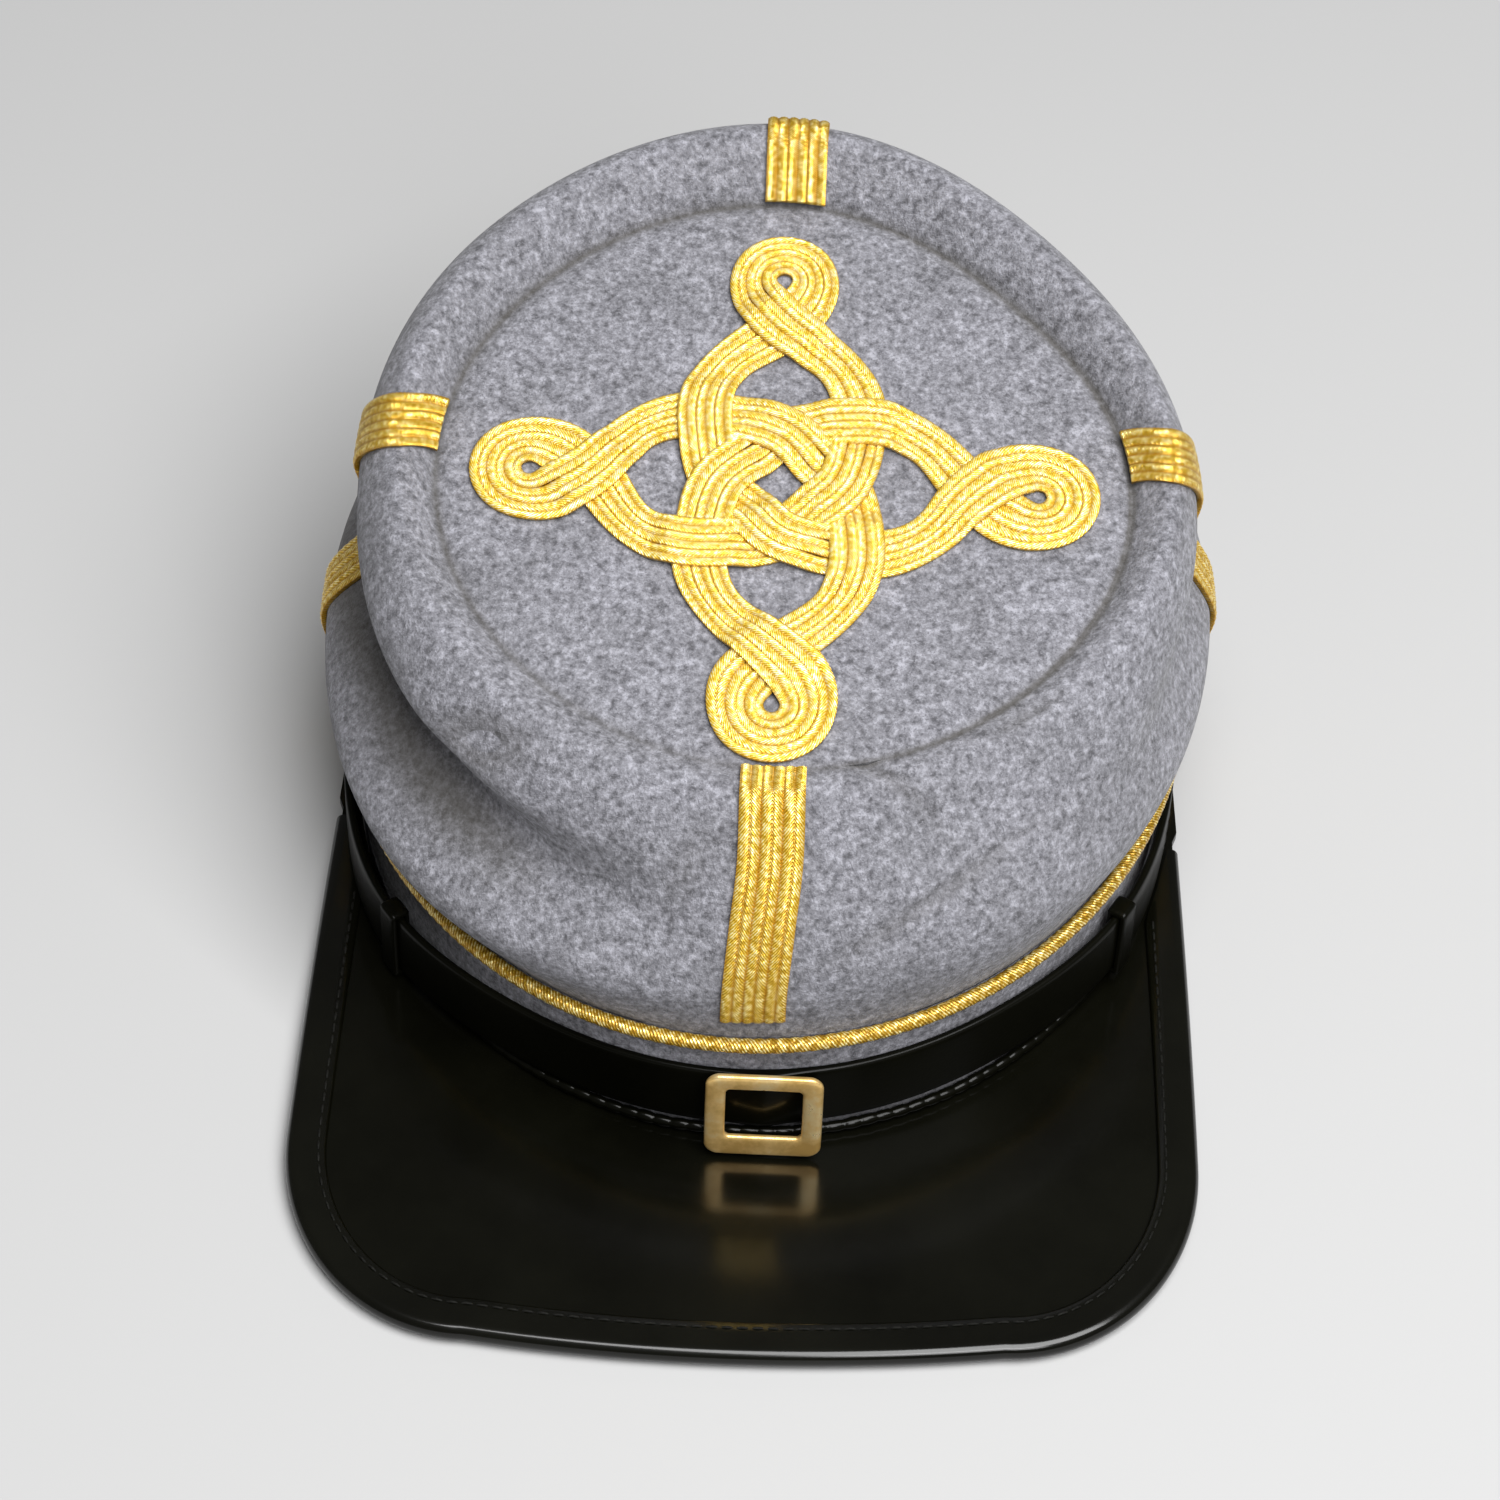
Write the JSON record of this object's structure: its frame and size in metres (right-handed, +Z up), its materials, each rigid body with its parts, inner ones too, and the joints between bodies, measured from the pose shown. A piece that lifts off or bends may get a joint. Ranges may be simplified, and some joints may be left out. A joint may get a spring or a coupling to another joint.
{
  "type": "officer's kepi",
  "caption": "Soft grey wool kepi with a slightly crushed crown, wide glossy leather peak, front strap with brass buckle, gold seam cord and flat gold braid knot.",
  "frame": {"origin": "centre of the cap's outline in plan, at the lower rim of the band it rests on", "axes": "+Z up, -Y towards the front edge of the peak, +X to the wearer's left; node names say left and right as seen from the front, left at -X"},
  "size_m": [0.1826, 0.2604, 0.1237],
  "materials": {
    "wool": "fulled grey wool with dark and pale flecks",
    "gold": "metallic gold thread, flat braid and twisted cord",
    "leather": "black patent leather, glossy",
    "brass": "pale polished brass"
  },
  "bodies": {
    "root": {"band": "wool", "crown_wall": "wool", "crown_disc": "wool", "seam_cord": "gold", "peak": "leather", "peak_binding": "leather", "peak_welt": "leather", "chin_strap": "leather", "keeper_left": "leather", "keeper_right": "leather", "buckle": "brass", "button_right": "brass", "button_left": "brass", "braid_front_1": "gold", "braid_front_2": "gold", "braid_front_3": "gold", "braid_back_1": "gold", "braid_back_2": "gold", "braid_back_3": "gold", "braid_left_1": "gold", "braid_left_2": "gold", "braid_left_3": "gold", "braid_right_1": "gold", "braid_right_2": "gold", "braid_right_3": "gold", "top_knot": "gold"}
  },
  "joints": []
}
